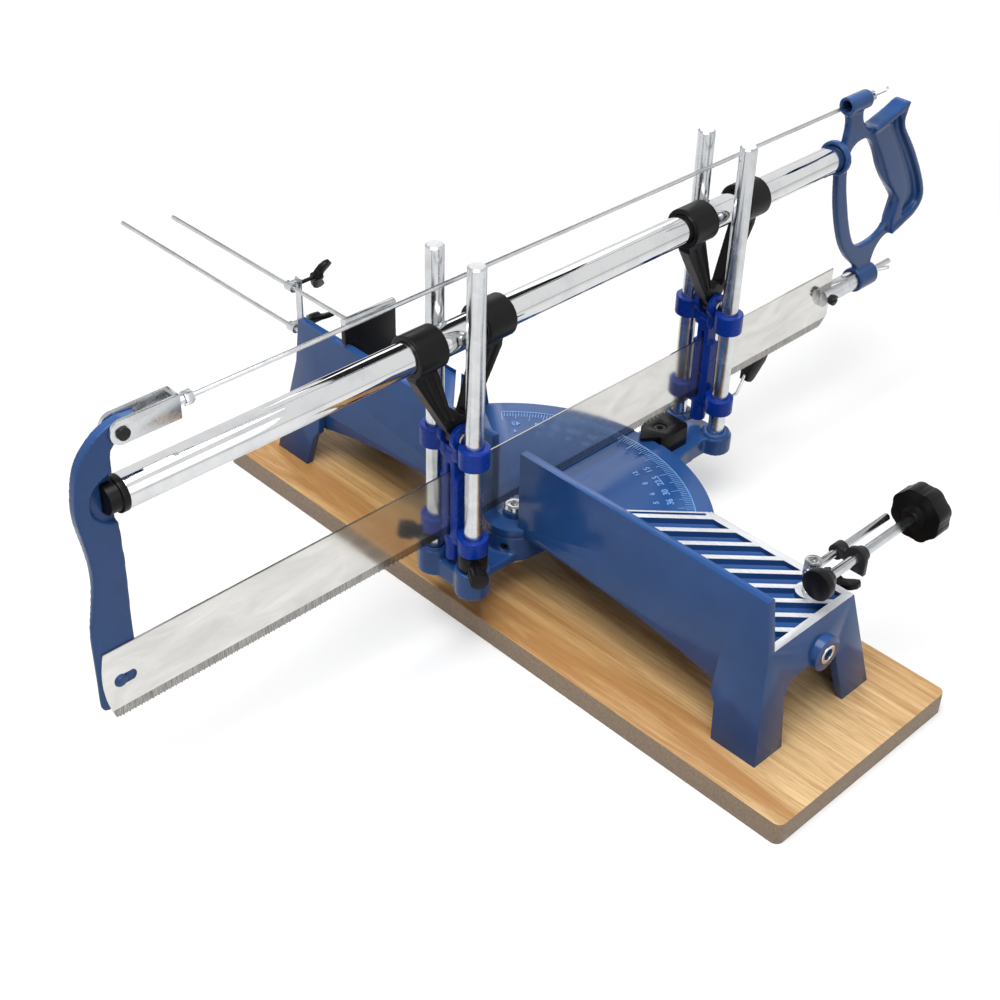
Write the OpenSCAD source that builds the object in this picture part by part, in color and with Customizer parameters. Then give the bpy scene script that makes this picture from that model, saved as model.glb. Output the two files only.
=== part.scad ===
// Manual mitre saw: a tensioned frame saw that slides through two carriages on four posts,
// over a cast table with a split fence and a protractor, on a wooden base board.
// +Z is up, the fence runs along X, the user stands at -Y. The origin is the point of the
// board's underside below the axis that the saw swings about.

/* [Base board] */
// Length of the board, along the fence
board_l = 490; // [470:5:520]
// Width of the board
board_w = 157; // [150:1:170]
// Thickness of the board
board_t = 15; // [12:1:18]

/* [Casting] */
// Height of the fence's top edge above the bench
fence_top = 118; // [112:1:124]
// Height of the table's surface above the bench
table_z = 84; // [82:0.5:86]
// Depth of the table in front of the fence
table_d = 72; // [66:1:76]
// Radius of the protractor plate
protractor_r = 124.5; // [122:0.5:125]
// Spacing of the ribs on the table
rib_pitch = 12.6; // [11:0.2:14]

/* [Posts and carriages] */
// Diameter of the four guide posts
post_d = 11; // [10:0.5:11]
// Half the distance between the two posts of a pair
post_x = 16.6; // [16.4:0.1:17]
// Place of the post pair behind the fence
post_back_y = 50.8; // [50:0.1:53]
// Place of the post pair on the user's side
post_front_y = -175.3; // [-178:0.1:-174]
// Height of the posts' tops above the bench
post_top = 260.7; // [250:1:270]

/* [Saw] */
// Length of the blade
blade_l = 606; // [600:1:607]
// Height of the blade
blade_h = 45; // [42:1:46]
// Thickness of the blade
blade_t = 0.9; // [0.7:0.1:1.2]
// Height of the teeth above the bench with the saw down
tooth_z = 76; // [75:0.5:78]
// Diameter of the back tube
tube_d = 19; // [18:0.5:19]
// Height of the tube's axis above the bench with the saw down
tube_z = 211; // [209:0.5:212]

/* [Stop and clamp] */
// Distance that the guide rod of the length stop stands out
stop_reach = 211; // [150:1:240]
// Diameter of the clamp's pad
pad_d = 18.6; // [16:0.2:19]
// Diameter of the clamp's knob
knob_d = 34; // [30:1:38]

/* [Hidden] */
$fn = 64;

blue = [0.13, 0.29, 0.55];
navy = [0.10, 0.20, 0.40];
royal = [0.10, 0.20, 0.63];
black = [0.12, 0.11, 0.11];
steel = [0.78, 0.78, 0.80];
blade_grey = [0.72, 0.71, 0.68];
tan_wood = [0.85, 0.68, 0.45];

run = 0.05;        // radial clearance of sliding and turning fits
eps = 0.01;

// Board
board_x = -6;      // centre of the board
board_y = -33.6;
board_r = 5;       // corner radius in plan
board_top = board_t;
foot_x = 203;      // screw places in the casting's four feet
foot_back_y = 8;
foot_front_y = -72.5;

// Casting
fence_y = 3;       // working face of the fence
fence_t = 5.5;
fence_back = fence_y + fence_t;
fence_in = 12;     // half the gap between the fence halves
end_tilt = 8;      // slope of the end walls
back_tilt = 9.9;   // slope of the feet behind the fence
front_tilt = 13.3; // slope of the wall on the user's side
end_x = 203.7;     // end wall at the table's surface
front_y = fence_y - table_d;
wall = 5;
plate_top = 63.5;  // protractor's surface
plate_t = 5;
plate_low = plate_top - plate_t;
inner_x = 27;      // table's inner corner at the fence; its edge runs off at 45 degrees
rib_w = 3.6;
groove_deep = 4;
rim_w = 4;
socket_y = -40;    // socket for the length stop in each end
socket_z = 61;
socket_r = 3.5;
socket_l = 15;
clamp_x = -184;    // hole in the table for the clamp's post
clamp_y = -53;
clamp_post_r = 4;

// Swing arm
arm_low = 40;
arm_top = 52;
hub_r = 19;
hub_top = 58.2;
bolt_r = 5;
bolt_seat_r = 7.2;
bolt_seat_top = 67.5;
back_web_top = 46; // top of the arm between the hub and the back posts
hub_screw_angle = 26.5; // direction of the hub's screw in plan, from +Y towards -X
boss_r = 11;
back_boss_top = 58;
front_boss_top = 54.5;

// Index lever
lever_x = 8;
lever_y = -177;
lever_z = 46;
lever_r = 1.2;

// Stop ring on one of the back posts
thumb_angle = 57;  // direction of the thumbscrew in plan, from +Y towards -X
thumb_z = 64.3;

// Carriages, as heights with the saw down
post_r = post_d / 2;
collar_r = 9.3;
low_collar = [70, 81];
high_collar = [132, 145];
pin_z = 146;
pin_r = 3;
pin_head_r = 4.2;
ring_gap = 25.6;   // from a fork's centre to the centre of each ring
ring_l = 20.5;
ring_r = 12.8;
tongue_t = 6.6;

// Saw
tube_r = tube_d / 2;
blade_y1 = 292;    // blade's end at the bow
blade_y0 = blade_y1 - blade_l;
blade_mid = tooth_z + blade_h / 2;
tube_y1 = 267;
tube_y0 = -298;
rod_z = 246;
rod_r = 1.3;
clevis_y = 264.5;  // pin between the bow's tip and the clevis
hook_y = 281.5;    // bow's stud in the blade
hook_z = blade_mid + 1;
bulge_z = 103;     // height at which the blade's far end stands out most
stud_r = 3.6;
holder_z = blade_mid + 3;
holder_y = -302;   // front end of the blade's holder
holder_r = 7;
bow_half = 3;      // half the bow's thickness
bow_y0 = 271;      // bow's edge towards the user, at the tube
plug_end = 277;    // end of the tube's cap, which bears on the bow

// Length stop
stop_y = 5.75;
guide_z = 107;
stop_z = 138;
stop_rod_r = 1.5;
stop_screw_r = 1.3;
bush_r = 3.2;
bush_x = [205, 212];
screw_x = 208.5;
stop_arm_z = 135.7; // arm of the stop rod that carries the stop plate
stop_arm_r = 2.7;

// Clamp
spindle_x = -197;
spindle_z = 103;
spindle_r = 3;
arm_rod_z = 100;
arm_rod_r = 2.4;

// Curve through points: each stretch of a closed ring of points gets n steps
function curve_point(a, b, c, d, t) =
    0.5 * ((2 * b) + (c - a) * t + (2 * a - 5 * b + 4 * c - d) * t * t
        + (3 * b - a - 3 * c + d) * t * t * t);
function ring_curve(p, n = 4) = let (m = len(p)) [for (i = [0 : m - 1], k = [0 : n - 1])
    curve_point(p[(i + m - 1) % m], p[i], p[(i + 1) % m], p[(i + 2) % m], k / n)];

// A plate drawn in Y and Z, t thick, centred on x = 0
module side_plate(points, t) {
    rotate([90, 0, 90])
        translate([0, 0, -t / 2])
            linear_extrude(t)
                polygon(points);
}

// A rod along Y from y0 to y1
module rod_y(r, y0, y1) {
    translate([0, y1, 0])
        rotate([90, 0, 0])
            cylinder(r = r, h = y1 - y0);
}

// A rod along X from x0 to x1
module rod_x(r, x0, x1) {
    translate([x0, 0, 0])
        rotate([0, 90, 0])
            cylinder(r = r, h = x1 - x0);
}

module both_ends() {
    children();
    mirror([1, 0, 0])
        children();
}

module at_feet() {
    for (x = [-foot_x, foot_x], y = [foot_back_y, foot_front_y])
        translate([x, y, 0])
            children();
}

module board_outline() {
    dx = board_l / 2 - board_r;
    dy = board_w / 2 - board_r;
    square([board_l, 2 * dy], center = true);
    square([2 * dx, board_w], center = true);
    for (x = [-dx, dx], y = [-dy, dy])
        translate([x, y])
            circle(r = board_r);
}

module base_board() {
    color(tan_wood)
        difference() {
            translate([board_x, board_y, 0])
                linear_extrude(board_t)
                    board_outline();
            at_feet() {
                translate([0, 0, -1])
                    cylinder(r = 2.5, h = board_t + 2);
                translate([0, 0, -1])
                    cylinder(r = 5.5, h = 5);
            }
        }
}

module board_screws() {
    color(steel)
        at_feet() {
            translate([0, 0, 1])
                cylinder(r = 5, h = 3);
            translate([0, 0, 3])
                cylinder(r = 2.5, h = board_t + 12);
        }
}

// Half of the fence, the one towards -X, drawn in X and Z; end_cut gives its outer edge
module fence_half() {
    translate([0, fence_back, 0])
        rotate([90, 0, 0])
            linear_extrude(fence_t)
                polygon([[-fence_in, plate_low], [-fence_in, fence_top], [-220, fence_top],
                    [-220, table_z - 36], [-174, 42.5], [-166, 45], [-140, 50.5],
                    [-110, 54.5], [-80, 57], [-50, plate_low]]);
}

// Sloping foot behind the fence
module back_foot() {
    translate([0, fence_back, table_z])
        rotate([back_tilt, 0, 0])
            rotate([90, 0, 0])
                linear_extrude(wall)
                    polygon([[-174, 2], [-174, -42], [-178, -47], [-183.5, -80], [-225, -80],
                        [-225, 2]]);
}

// End wall with its arch, drawn in Y and height below the table; its sides end in the feet
module end_wall() {
    translate([-end_x, 0, table_z])
        rotate([0, end_tilt, 0])
            rotate([90, 0, 90])
                translate([0, 0, -3])
                    linear_extrude(wall + 3)
                        polygon([[6, 5], [6, 0], [19.6, -80], [-3, -80], [-6, -36],
                            [-9, -31], [-14, -28], [-46, -26], [-50, -28], [-53, -34], [-63, -80],
                            [front_y - 16.4, -80], [front_y + 2.5, 0], [front_y + 2.5, 5]]);
}

// Wall on the user's side, under the table's edge
module front_wall() {
    translate([0, front_y, table_z])
        rotate([-front_tilt, 0, 0])
            translate([0, wall, 0])
                rotate([90, 0, 0])
                    linear_extrude(wall)
                        polygon([[-225, 5], [-225, -80], [-184, -80], [-178, -36], [-172, -30],
                            [-160, -26], [-100, -22], [-98, 5]]);
}

// All that lies outside the sloping end
module end_cut() {
    translate([-end_x, 0, table_z])
        rotate([0, end_tilt, 0])
            translate([-60, -200, -120])
                cube([60, 400, 220]);
}

module table_plan(front, outer, inset) {
    polygon([[-inner_x - inset, fence_y], [-inner_x + front - inset - fence_y, front],
        [outer, front], [outer, fence_y]]);
}

// Grooves between the ribs, which run off at 45 degrees as the table's inner edge does
module groove_plan() {
    intersection() {
        table_plan(front_y + rim_w, rim_w - end_x, rim_w * sqrt(2) - rib_w);
        for (k = [0 : 9])
            translate([-inner_x - (rib_w + k * rib_pitch) * sqrt(2), fence_y])
                rotate(45)
                    translate([-320, -rib_pitch + rib_w])
                        mirror([0, 1])
                            translate([0, -rib_pitch + rib_w])
                                square([400, rib_pitch - rib_w]);
    }
}

module table_half() {
    translate([0, 0, table_z - 8])
        linear_extrude(8 - groove_deep)
            table_plan(front_y + 1.5, -end_x - 3, 0);
    translate([0, 0, table_z - groove_deep - eps])
        linear_extrude(groove_deep + eps)
            difference() {
                table_plan(front_y + 1.5, -end_x - 3, 0);
                groove_plan();
            }
    // wall from the table's inner edge down to the protractor plate
    translate([0, 0, plate_low])
        linear_extrude(table_z - plate_low - 1)
            polygon([[-inner_x - 0.2, fence_y + 1], [-inner_x - table_d - 1.2, front_y + 1],
                [-inner_x - table_d - 8, front_y + 1], [-inner_x - 7, fence_y + 1]]);
}

module protractor() {
    difference() {
        translate([0, 0, plate_low])
            cylinder(r = protractor_r, h = plate_t, $fn = 128);
        translate([-200, fence_y, 0])
            cube([400, 200, 100]);
        // shallow channel below the blade
        translate([-12, -protractor_r - 1, plate_top - 1])
            cube([24, protractor_r - 14, 2]);
    }
    // round plate over the arm's hub, and the seat of the pivot bolt
    translate([0, 0, plate_low])
        cylinder(r = hub_r, h = plate_t);
    translate([0, 0, plate_low])
        cylinder(r = bolt_seat_r, h = bolt_seat_top - plate_low);
}

module table_casting() {
    color(blue)
        difference() {
            union() {
                both_ends() {
                    difference() {
                        union() {
                            fence_half();
                            back_foot();
                            difference() {
                                union() {
                                    end_wall();
                                    front_wall();
                                }
                                translate([-300, -150, table_z])
                                    cube([300, 150 + fence_y + 2, 50]);
                            }
                            table_half();
                        }
                        end_cut();
                    }
                    translate([0, socket_y, socket_z])
                        rod_x(11, -end_x - 7, -end_x + 12);
                    translate([clamp_x, clamp_y, table_z - 22])
                        cylinder(r = 8, h = 22);
                }
                translate([-fence_in - 8, -12, plate_low])
                    cube([2 * fence_in + 16, 12 + fence_y, plate_t]);
                protractor();
                at_feet()
                    translate([0, 0, 8])
                        cylinder(r = 5, h = 32);
            }
            // flat undersides of the feet
            translate([-300, -150, -50])
                cube([600, 250, 50 + board_top]);
            at_feet()
                cylinder(r = 2.5, h = board_t + 15.5);
            cylinder(r = bolt_r, h = 100);
            both_ends()
                translate([0, socket_y, socket_z])
                    rod_x(socket_r, -end_x - 8, -end_x - 7 + socket_l);
            // hole for the clamp's post and the one for the screw that locks it, at either end
            both_ends() {
                translate([clamp_x, clamp_y, 40])
                    cylinder(r = clamp_post_r + run, h = 60);
                translate([clamp_x, 0, table_z - 9])
                    rod_y(2 + run, front_y - 20, clamp_y);
            }
            // socket of the guide rod in the fence's end
            translate([0, stop_y, guide_z])
                rod_x(stop_rod_r, end_x - 20, end_x + 5);
        }
}

module pivot_bolt() {
    color(steel)
        difference() {
            union() {
                translate([0, 0, bolt_seat_top])
                    cylinder(r1 = 6.4, r2 = 5.6, h = 3);
                translate([0, 0, 30])
                    cylinder(r = bolt_r, h = bolt_seat_top - 30 + eps);
            }
            translate([0, 0, bolt_seat_top + 1])
                cylinder(r = 2.6, h = 3, $fn = 6);
        }
}

module pivot_nut() {
    color(steel)
        difference() {
            union() {
                translate([0, 0, 38])
                    cylinder(r = 12, h = 1.7);
                translate([0, 0, 30])
                    cylinder(r = 9.2, h = 8, $fn = 6);
            }
            translate([0, 0, 20])
                cylinder(r = bolt_r, h = 30);
        }
}

module arm_plan() {
    circle(r = hub_r);
    polygon([[-19, 0], [-22, -30], [-26, -70], [-25, -108], [-18, -146], [-16, post_front_y],
        [16, post_front_y], [18, -146], [25, -108], [26, -70], [22, -30], [19, 0]]);
    for (y = [post_back_y, post_front_y]) {
        translate([-post_x, y - 6])
            square([2 * post_x, 12]);
        for (x = [-post_x, post_x])
            translate([x, y])
                circle(r = boss_r);
    }
}

module swing_arm() {
    color(blue)
        difference() {
            union() {
                translate([0, 0, arm_low])
                    linear_extrude(arm_top - arm_low)
                        arm_plan();
                translate([-15, 0, arm_low])
                    cube([30, post_back_y - 8, back_web_top - arm_low]);
                translate([0, 0, arm_low])
                    cylinder(r = hub_r, h = hub_top - arm_low);
                for (x = [-post_x, post_x]) {
                    translate([x, post_back_y, arm_low])
                        cylinder(r = boss_r, h = back_boss_top - arm_low);
                    translate([x, post_front_y, arm_low])
                        cylinder(r = boss_r - 1.5, h = front_boss_top - arm_low);
                }
            }
            translate([0, 0, arm_low - 1])
                cylinder(r = bolt_r + run, h = 40);
            for (x = [-post_x, post_x], y = [post_back_y, post_front_y])
                translate([x, y, arm_low + 2])
                    cylinder(r = post_r, h = 40);
            // grub screw of the hub
            translate([0, 0, 50])
                rotate([0, 0, hub_screw_angle])
                    rod_y(2.6, 6, 40);
            // screw of the index block
            translate([0, -136, arm_low - 1])
                cylinder(r = 2.5, h = 40);
            // slot and cross hole of the index lever
            translate([lever_x - 1.9, lever_y - 15, arm_low - 1])
                cube([3.8, 18, 20]);
            translate([0, lever_y, lever_z])
                rod_x(lever_r + run, lever_x - 5.6, lever_x + 2.6);
            // hollow underside
            translate([-12, -118, arm_low - 1])
                cube([24, 78, 6]);
        }
}

module index_block() {
    color(black)
        difference() {
            union() {
                translate([0, 0, arm_top])
                    linear_extrude(14)
                        polygon([[-9, -127], [9, -127], [12, -133], [12, -150], [9, -153],
                            [-9, -153], [-12, -150], [-12, -133]]);
                translate([0, 0, plate_top + 0.4])
                    linear_extrude(arm_top + 14 - plate_top - 0.4)
                        polygon([[0, -116], [8, -127.5], [-8, -127.5]]);
            }
            translate([0, -136, arm_top - 1])
                cylinder(r = 2.5, h = 20);
            translate([0, -136, arm_top + 9])
                cylinder(r = 4.6, h = 10);
        }
}

module index_screw() {
    color(black)
        difference() {
            union() {
                translate([0, -136, arm_low + 2])
                    cylinder(r = 2.5, h = arm_top + 9 - arm_low - 2 + eps);
                translate([0, -136, arm_top + 9])
                    cylinder(r = 4.4, h = 4.4);
            }
            translate([0, -136, arm_top + 10.5])
                cylinder(r = 2.4, h = 6, $fn = 6);
        }
}

module posts() {
    color(steel)
        for (x = [-post_x, post_x], y = [post_back_y, post_front_y])
            translate([x, y, arm_low + 2]) {
                cylinder(r = post_r, h = post_top - arm_low - 3);
                translate([0, 0, post_top - arm_low - 3 - eps])
                    cylinder(r1 = post_r, r2 = post_r - 1, h = 1);
            }
}

module hub_screw() {
    color(black)
        translate([0, 0, 50])
            rotate([0, 0, hub_screw_angle])
                difference() {
                    rod_y(2.6, 8, 17.5);
                    translate([0, 19, 0])
                        rotate([90, 0, 0])
                            cylinder(r = 1.4, h = 4, $fn = 6);
                }
}

module stop_ring() {
    color(black)
        translate([-post_x, post_back_y, 0])
            difference() {
                translate([0, 0, 59])
                    cylinder(r = 9, h = 10.5);
                translate([0, 0, 50])
                    cylinder(r = post_r, h = 30);
                translate([0, 0, thumb_z])
                    rotate([0, 0, thumb_angle])
                        rod_y(2 + run, 5, 12);
            }
}

module stop_thumbscrew() {
    color(black)
        translate([-post_x, post_back_y, thumb_z])
            rotate([0, 0, thumb_angle]) {
                rod_y(2, post_r + 0.3, 13);
                rod_y(4.4, 9.6, 14);
                for (k = [0 : 11])
                    rotate([0, k * 30, 0])
                        translate([5, 0, 0])
                            rod_y(0.9, 14.6, 22.2);
                rod_y(5.2, 13.7, 23);
            }
}

// Plastic carriage of one post pair, with a slot for the blade
module carriage(y0) {
    translate([0, y0, 0])
        difference() {
            union() {
                for (x = [-post_x, post_x]) {
                    translate([x, 0, low_collar[0]])
                        cylinder(r = collar_r, h = low_collar[1] - low_collar[0]);
                    translate([x, 0, high_collar[0]])
                        cylinder(r = collar_r, h = high_collar[1] - high_collar[0]);
                }
                translate([-post_x, -4, high_collar[0]])
                    cube([2 * post_x, 8, 7]);
                for (x = [-7.2, 3.6])
                    translate([x, 0, 0]) {
                        translate([0, -5, high_collar[0]])
                            cube([3.6, 10, 14]);
                        translate([0, 0, pin_z])
                            rod_x(8, 0, 3.6);
                    }
                translate([-7.2, -4.5, 71])
                    cube([14.4, 9, 64]);
                translate([-post_x, -4, low_collar[0]])
                    cube([2 * post_x, 8, 5]);
                translate([0, 0, 57])
                    cylinder(r = 5.2, h = 16);
            }
            for (x = [-post_x, post_x])
                translate([x, 0, 50])
                    cylinder(r = post_r + run, h = 110);
            // room for the heads of the fork's pin
            for (x = [-9.8, 7.2])
                translate([0, 0, pin_z])
                    rod_x(pin_head_r + 0.4, x, x + 2.6);
            translate([-1.2, -10, tooth_z - 1])
                cube([2.4, 20, 52]);
            translate([0, 0, pin_z])
                rod_x(pin_r, -20, 20);
            // windows beside the spine
            for (x = [-9.5, 4.5])
                translate([x, -10, 118])
                    cube([5, 20, 12]);
        }
}

module carriage_back() {
    color(royal)
        carriage(post_back_y);
}

module carriage_front() {
    color(royal)
        carriage(post_front_y);
}

// Y-shaped fork that carries the tube in two rings
module fork(y0) {
    arm_t = 9;
    translate([0, y0, 0])
        difference() {
            union() {
                for (s = [-1, 1]) {
                    translate([0, s * ring_gap, tube_z])
                        rod_y(ring_r, -ring_l / 2, ring_l / 2);
                    mirror([0, s < 0 ? 1 : 0, 0])
                        side_plate([[0, pin_z + 13], [5, pin_z + 13], [17, tube_z - 12],
                            [33, tube_z - 12], [32.5, tube_z - 17], [8, pin_z + 5],
                            [0, pin_z + 3]], arm_t);
                }
                side_plate([[-6, pin_z + 2], [6, pin_z + 2], [9, pin_z + 8.5], [0, pin_z + 16],
                    [-9, pin_z + 8.5]], arm_t);
                translate([0, 0, pin_z])
                    rod_x(5.6, -tongue_t / 2, tongue_t / 2);
                translate([-tongue_t / 2, -5.6, pin_z])
                    cube([tongue_t, 11.2, 6]);
            }
            // ears of the carriage pass beside the tongue
            for (x = [-12, tongue_t / 2])
                translate([x, -20, pin_z - 10])
                    cube([12 - tongue_t / 2, 40, 18.6]);
            translate([0, 0, tube_z])
                rod_y(tube_r + run, -80, 80);
            translate([0, 0, pin_z])
                rod_x(pin_r + run, -20, 20);
            // raised ridge down each arm, left by a pocket on either side of it
            for (s = [-1, 1], x = [-arm_t / 2 - 1, arm_t / 2 - 1.2], d = [0, 1])
                mirror([0, s < 0 ? 1 : 0, 0])
                    translate([x + 1.1, 0, 0])
                        side_plate([[6 + d * 3.5, pin_z + 14], [18.5 + d * 7, tube_z - 15],
                            [22 + d * 7, tube_z - 15], [7.6 + d * 3.5, pin_z + 14]], 2.2);
        }
}

module fork_back() {
    color(black)
        fork(post_back_y);
}

module fork_front() {
    color(black)
        fork(post_front_y);
}

module fork_pin(y0) {
    color(steel)
        translate([0, y0, pin_z]) {
            rod_x(pin_r, -8, 9);
            rod_x(pin_head_r, -9.4, -7.3);
            rod_x(pin_head_r, 7.3, 8.6);
        }
}

module fork_pin_back() {
    fork_pin(post_back_y);
}

module fork_pin_front() {
    fork_pin(post_front_y);
}

// Bent wire of the release lever
module lever_wire() {
    bend = [-228, 49];
    tip = [-237, 63];
    rise = atan2(bend[1] - lever_z, lever_y - bend[0]);
    translate([lever_x, 0, 0]) {
        translate([0, lever_y, lever_z]) {
            rod_x(lever_r, -5.5, 2.4);
            rotate([-rise, 0, 0])
                rod_y(lever_r, -norm([lever_y - bend[0], bend[1] - lever_z]), 0);
        }
        translate([0, bend[0], bend[1]]) {
            sphere(r = lever_r);
            rotate([-atan2(tip[1] - bend[1], bend[0] - tip[0]), 0, 0])
                rod_y(lever_r, -norm(tip - bend), 0);
        }
    }
}

// Sprung lever at the arm's front; pressing its tab down frees the arm from the index block
module index_lever() {
    color(steel)
        lever_wire();
}

module lever_tab() {
    color(black)
        difference() {
            translate([lever_x, 0, 0])
                side_plate([[-234.5, 57.5], [-239, 55.5], [-242, 56.5], [-253, 67], [-257, 74],
                    [-254, 77.5], [-247, 75], [-239.5, 69], [-235, 64]], 7);
            lever_wire();
        }
}

module back_tube() {
    color(steel)
        translate([0, 0, tube_z])
            difference() {
                rod_y(tube_r, tube_y0, tube_y1);
                rod_y(tube_r - 1.5, tube_y0 - 1, tube_y1 + 1);
            }
}

module tube_end_cap() {
    color(black)
        translate([0, 0, tube_z]) {
            rod_y(9.8, tube_y1, bow_y0 - 0.2);
            rod_y(8.2, bow_y0 - 0.2 - eps, plug_end);
            rod_y(tube_r - 1.5, tube_y1 - 12, tube_y1 + eps);
        }
}

// Bow at the far end of the saw; below the tube it thins on one side, where the blade lies
module end_bow() {
    outline = ring_curve([[253, 250.5], [259, 251.8], [265, 252], [270.5, 250.7], [276.3, 248],
        [282, 243.4], [285.6, 239.5], [288.8, 234.2], [291.3, 226], [293, 215], [293.2, 208],
        [292.3, 200], [290.3, 188.5], [288.7, 176], [288.7, 164.8], [290.5, 152], [293, 138],
        [293.5, 125], [293.5, 105], [293.8, 90], [292.6, 84.6], [288, 83], [276, 83.4],
        [271.2, 85], [269.8, 92], [269.8, 118], [269.8, 136], [269.7, 156], [270.2, 177],
        [271, 194], [bow_y0, 212], [bow_y0, 231], [270, 238], [264, 241.6], [256, 242.5],
        [252.2, 244.5]], 3);
    near = blade_t / 2;
    color(navy)
        difference() {
            intersection() {
                side_plate(outline, 2 * bow_half);
                translate([0, 300, 0])
                    rotate([90, 0, 0])
                        linear_extrude(60)
                            polygon([[near, 60], [near, 134], [-bow_half, 200], [-bow_half, 260],
                                [bow_half, 260], [bow_half, 60]]);
            }
            // way of the tube's cap and the round pocket about it
            translate([0, 0, tube_z])
                rod_y(8.5, 250, plug_end);
            translate([0, bow_y0, tube_z])
                rod_x(14, -bow_half - 1, 0.5);
            translate([0, hook_y, hook_z])
                rod_x(stud_r, -20, 20);
            translate([0, clevis_y, rod_z])
                rod_x(2.5, -20, 20);
        }
}

// Far edge of the blade, which bulges at bulge_z
function blade_end(z) = [blade_y1 - (z - bulge_z) * (z - bulge_z) / 130, z];

module blade() {
    color(blade_grey)
        difference() {
            side_plate(concat(
                [for (k = [0 : 8]) blade_end(tooth_z + k * blade_h / 8)],
                [[blade_y0, tooth_z + blade_h], [blade_y0, tooth_z + 8],
                    [blade_y0 + 6, tooth_z]]), blade_t);
            for (y = [hook_y, hook_y - 5.7])
                translate([0, y, hook_z])
                    rod_x(stud_r + 0.25, -5, 5);
            translate([0, blade_y0 + 7, holder_z])
                rod_x(2.5, -5, 5);
        }
}

module blade_pin() {
    color(navy)
        translate([0, hook_y, hook_z]) {
            rod_x(stud_r, -1.2, bow_half);
            rod_x(stud_r - 0.9, -1.7, -1.1);
        }
}

// Outline of the handle, drawn in Y and Z: strip under the tube, neck, grip and horn
handle_outline = ring_curve([[-301, 243], [-303.5, 233], [-302, 219], [-297.5, 212], [-298, 201],
    [-301.8, 178], [-308, 157.5], [-316, 139.5], [-326.4, 125.5], [-338.6, 114.5], [-346, 106],
    [-356, 105], [-358.5, 113], [-361.5, 121], [-368, 127], [-378, 130], [-390, 134],
    [-400, 138], [-406.5, 144.5], [-407.6, 152], [-404.3, 161], [-398, 172.5], [-390.3, 184.2],
    [-383.8, 193.8], [-376, 203.7], [-368, 213.7], [-365.8, 220.2], [-367.3, 227],
    [-369, 232.6], [-364, 232.2], [-356, 229.3], [-341, 225.4], [-331, 223.6], [-323, 227],
    [-318.8, 234], [-316, 244]], 3);
finger_opening = ring_curve([[-309.6, 209], [-309.5, 197], [-312, 184], [-315.7, 171.8],
    [-320, 158.9], [-325.6, 145.4], [-331.6, 135.4], [-338, 131.2], [-347, 130], [-357, 131],
    [-365, 134], [-370.2, 139], [-373.5, 147], [-374.5, 154], [-372, 161], [-362.5, 171],
    [-354, 180.5], [-347, 190.5], [-341.5, 201], [-337, 208.5], [-331, 214], [-325, 216.8],
    [-317.3, 216.4], [-312, 213.5]], 3);
// Part of the outline that the grip's wide rim follows
grip_area = [[-331, 219], [-331, 240], [-375, 240], [-415, 200], [-415, 125], [-374, 125],
    [-374, 140], [-378, 155], [-360, 176], [-345, 200]];
// Inside of the rim, where the grip is narrower
rim_inside = ring_curve([[-300, 200], [-316, 219], [-334, 220.3], [-348, 223], [-360, 226.3],
    [-363.3, 225.5], [-362.3, 219.5], [-365, 212.8], [-373, 201.8], [-381, 191.5], [-387.5, 182],
    [-395, 170.5], [-401, 159], [-404, 151], [-402.6, 145.6], [-396.5, 141.2], [-385, 137],
    [-372, 132.5], [-345, 120], [-310, 130]], 3);
// Deep channel in each side of the grip, along its back
grip_channel = ring_curve([[-350, 221.5], [-360, 224.5], [-362.3, 219.5], [-365, 212.8],
    [-373, 201.8], [-381, 191.5], [-387.5, 182], [-395, 170.5], [-401, 159], [-403.6, 151],
    [-402, 146], [-396, 142], [-386.5, 139.5], [-384.5, 146], [-386.3, 154.5], [-384.5, 166],
    [-374.4, 185], [-360.5, 205], [-351.5, 216]], 3);

module handle() {
    web_t = 5;
    body_t = 10;
    rim_t = 12.6;
    channel_t = 3;
    boss_y = [-322.5, -299.3];
    boss_r = 6.3;
    low_boss_y = [-361, -340];
    low_boss_r = 9;
    color(blue)
        difference() {
            union() {
                side_plate(handle_outline, web_t);
                intersection() {
                    side_plate(handle_outline, rim_t);
                    side_plate(grip_area, rim_t);
                }
                translate([0, 0, rod_z])
                    rod_y(boss_r, boss_y[0], boss_y[1]);
                translate([0, 0, holder_z])
                    rod_y(low_boss_r, low_boss_y[0], low_boss_y[1]);
                translate([0, 0, tube_z])
                    rod_y(12, tube_y0, tube_y0 + 5);
            }
            side_plate(finger_opening, 40);
            both_ends() {
                translate([body_t / 2 + 5, 0, 0])
                    side_plate(rim_inside, 10);
                translate([channel_t / 2 + 5, 0, 0])
                    side_plate(grip_channel, 10);
            }
            translate([0, 0, tube_z])
                rod_y(tube_r, tube_y0 - 0.2, tube_y0 + 40);
            translate([0, 0, rod_z])
                rod_y(rod_r, boss_y[0] - 5, boss_y[1] + 5);
            translate([0, 0, rod_z])
                rod_y(4, boss_y[1] - 14, boss_y[1] + 5);
            translate([0, 0, holder_z])
                rod_y(holder_r, low_boss_y[0] + 6, low_boss_y[1] + 10);
            translate([0, 0, holder_z])
                rod_y(2, low_boss_y[0] - 30, low_boss_y[1] + 10);
        }
}

// Split shaft that grips the blade's end and is drawn back by the wing nut
module blade_holder() {
    screw_y = blade_y0 + 7;
    color(steel)
        difference() {
            translate([0, 0, holder_z]) {
                rod_y(holder_r, -352, holder_y);
                rod_y(2, -386, -351);
            }
            translate([-blade_t / 2, blade_y0 - 1, holder_z - 15])
                cube([blade_t, 20, 30]);
            translate([0, screw_y, holder_z]) {
                rod_x(2.5, -5, 12);
                rod_x(2.5, -12, -4);
            }
            // flats at the top and the bottom
            for (z = [holder_z + 6, holder_z - 16])
                translate([-10, -330, z])
                    cube([20, 40, 10]);
        }
}

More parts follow.
